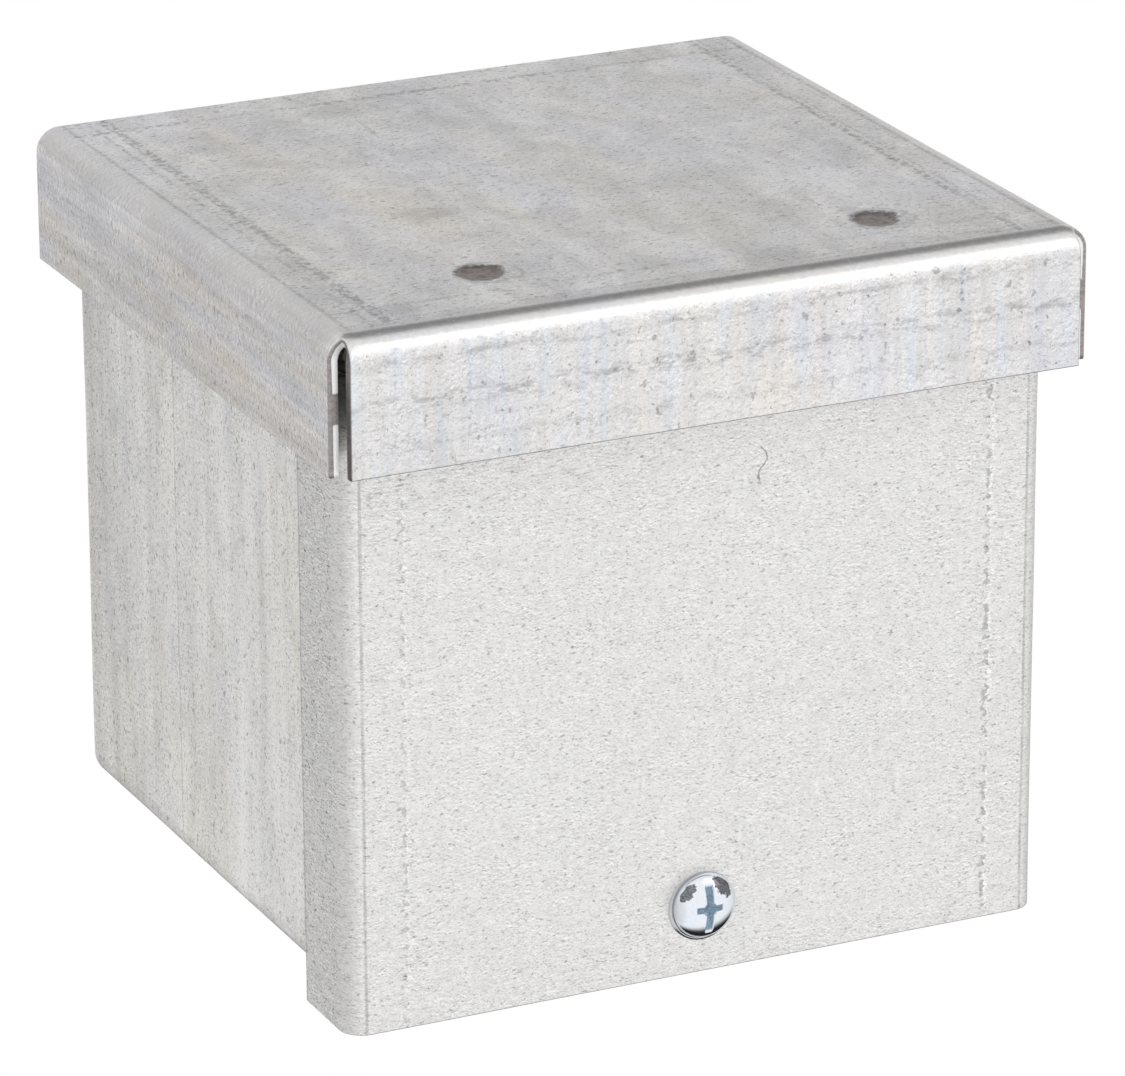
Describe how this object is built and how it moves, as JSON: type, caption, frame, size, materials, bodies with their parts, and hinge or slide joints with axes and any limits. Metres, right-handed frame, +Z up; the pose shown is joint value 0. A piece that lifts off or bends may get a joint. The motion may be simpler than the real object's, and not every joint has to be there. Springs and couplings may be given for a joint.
{
  "type": "electrical junction box",
  "caption": "Cube-shaped folded steel junction box with a flanged drip shield on top, a slip-on front cover fixed by a bottom screw, wall bosses behind and knockouts below.",
  "frame": {"origin": "centre of the four wall-mounting holes, on the plane of the wall the raised bosses stand on", "axes": "+X to the right seen from the front, +Y into the wall, +Z up; the cover faces -Y"},
  "size_m": [0.112, 0.1083, 0.1013],
  "materials": {
    "body_galvanised": "matt galvanised sheet, faint upright streaks",
    "plate_galvanised": "matt galvanised sheet",
    "shield_galvanised": "weathered galvanised sheet with fold and die marks",
    "cover_galvanised": "fine-grained pale galvanised sheet",
    "nut_zinc": "zinc plated",
    "washer_zinc": "zinc plated",
    "screw_zinc": "bright blue zinc plating",
    "ground_green": "green dyed zinc plating"
  },
  "bodies": {
    "box": {"body_shell": "body_galvanised", "top_plate": "plate_galvanised", "bottom_plate": "plate_galvanised", "drip_shield": "shield_galvanised", "cover_clinch_nut": "nut_zinc"},
    "cover": {"front_cover": "cover_galvanised"},
    "cover_washer": {"cover_flat_washer": "washer_zinc"},
    "cover_screw": {"cover_screw": "screw_zinc"},
    "ground_washer": {"ground_lock_washer": "washer_zinc"},
    "ground_screw": {"ground_screw": "ground_green"},
    "knockout_ring_left": {"knockout_ring_left": "plate_galvanised"},
    "knockout_slug_left": {"knockout_slug_left": "plate_galvanised"},
    "knockout_ring_right": {"knockout_ring_right": "plate_galvanised"},
    "knockout_slug_right": {"knockout_slug_right": "plate_galvanised"}
  },
  "joints": [
    {"name": "cover_slide", "type": "slide", "parent": "box", "child": "cover", "axis": [0, 0, -1], "range_m": [0, 0.095]},
    {"name": "cover_screw_travel", "type": "slide", "parent": "cover", "child": "cover_washer", "axis": [0, -1, 0], "range_m": [0, 0.0103]},
    {"name": "cover_screw_turn", "type": "hinge", "parent": "cover_washer", "child": "cover_screw", "pos_m": [0, -0.10156, -0.04174], "axis": [0, -1, 0], "range_deg": [0, 4680]},
    {"name": "ground_screw_travel", "type": "slide", "parent": "box", "child": "ground_washer", "axis": [0, -1, 0], "range_m": [0, 0.0063]},
    {"name": "ground_screw_turn", "type": "hinge", "parent": "ground_washer", "child": "ground_screw", "pos_m": [0, -0.0052, -0.022], "axis": [0, -1, 0], "range_deg": [0, 2880]},
    {"name": "knockout_ring_left_out", "type": "slide", "parent": "box", "child": "knockout_ring_left", "axis": [0, 0, -1], "range_m": [0, 0.03]},
    {"name": "knockout_slug_left_out", "type": "slide", "parent": "knockout_ring_left", "child": "knockout_slug_left", "axis": [0, 0, -1], "range_m": [0, 0.03]},
    {"name": "knockout_ring_right_out", "type": "slide", "parent": "box", "child": "knockout_ring_right", "axis": [0, 0, -1], "range_m": [0, 0.03]},
    {"name": "knockout_slug_right_out", "type": "slide", "parent": "knockout_ring_right", "child": "knockout_slug_right", "axis": [0, 0, -1], "range_m": [0, 0.03]}
  ],
  "couplings": [
    {"joint": "cover_screw_turn", "follows": "cover_screw_travel", "rad_per_m": 7915.8},
    {"joint": "ground_screw_turn", "follows": "ground_screw_travel", "rad_per_m": 7915.8}
  ]
}
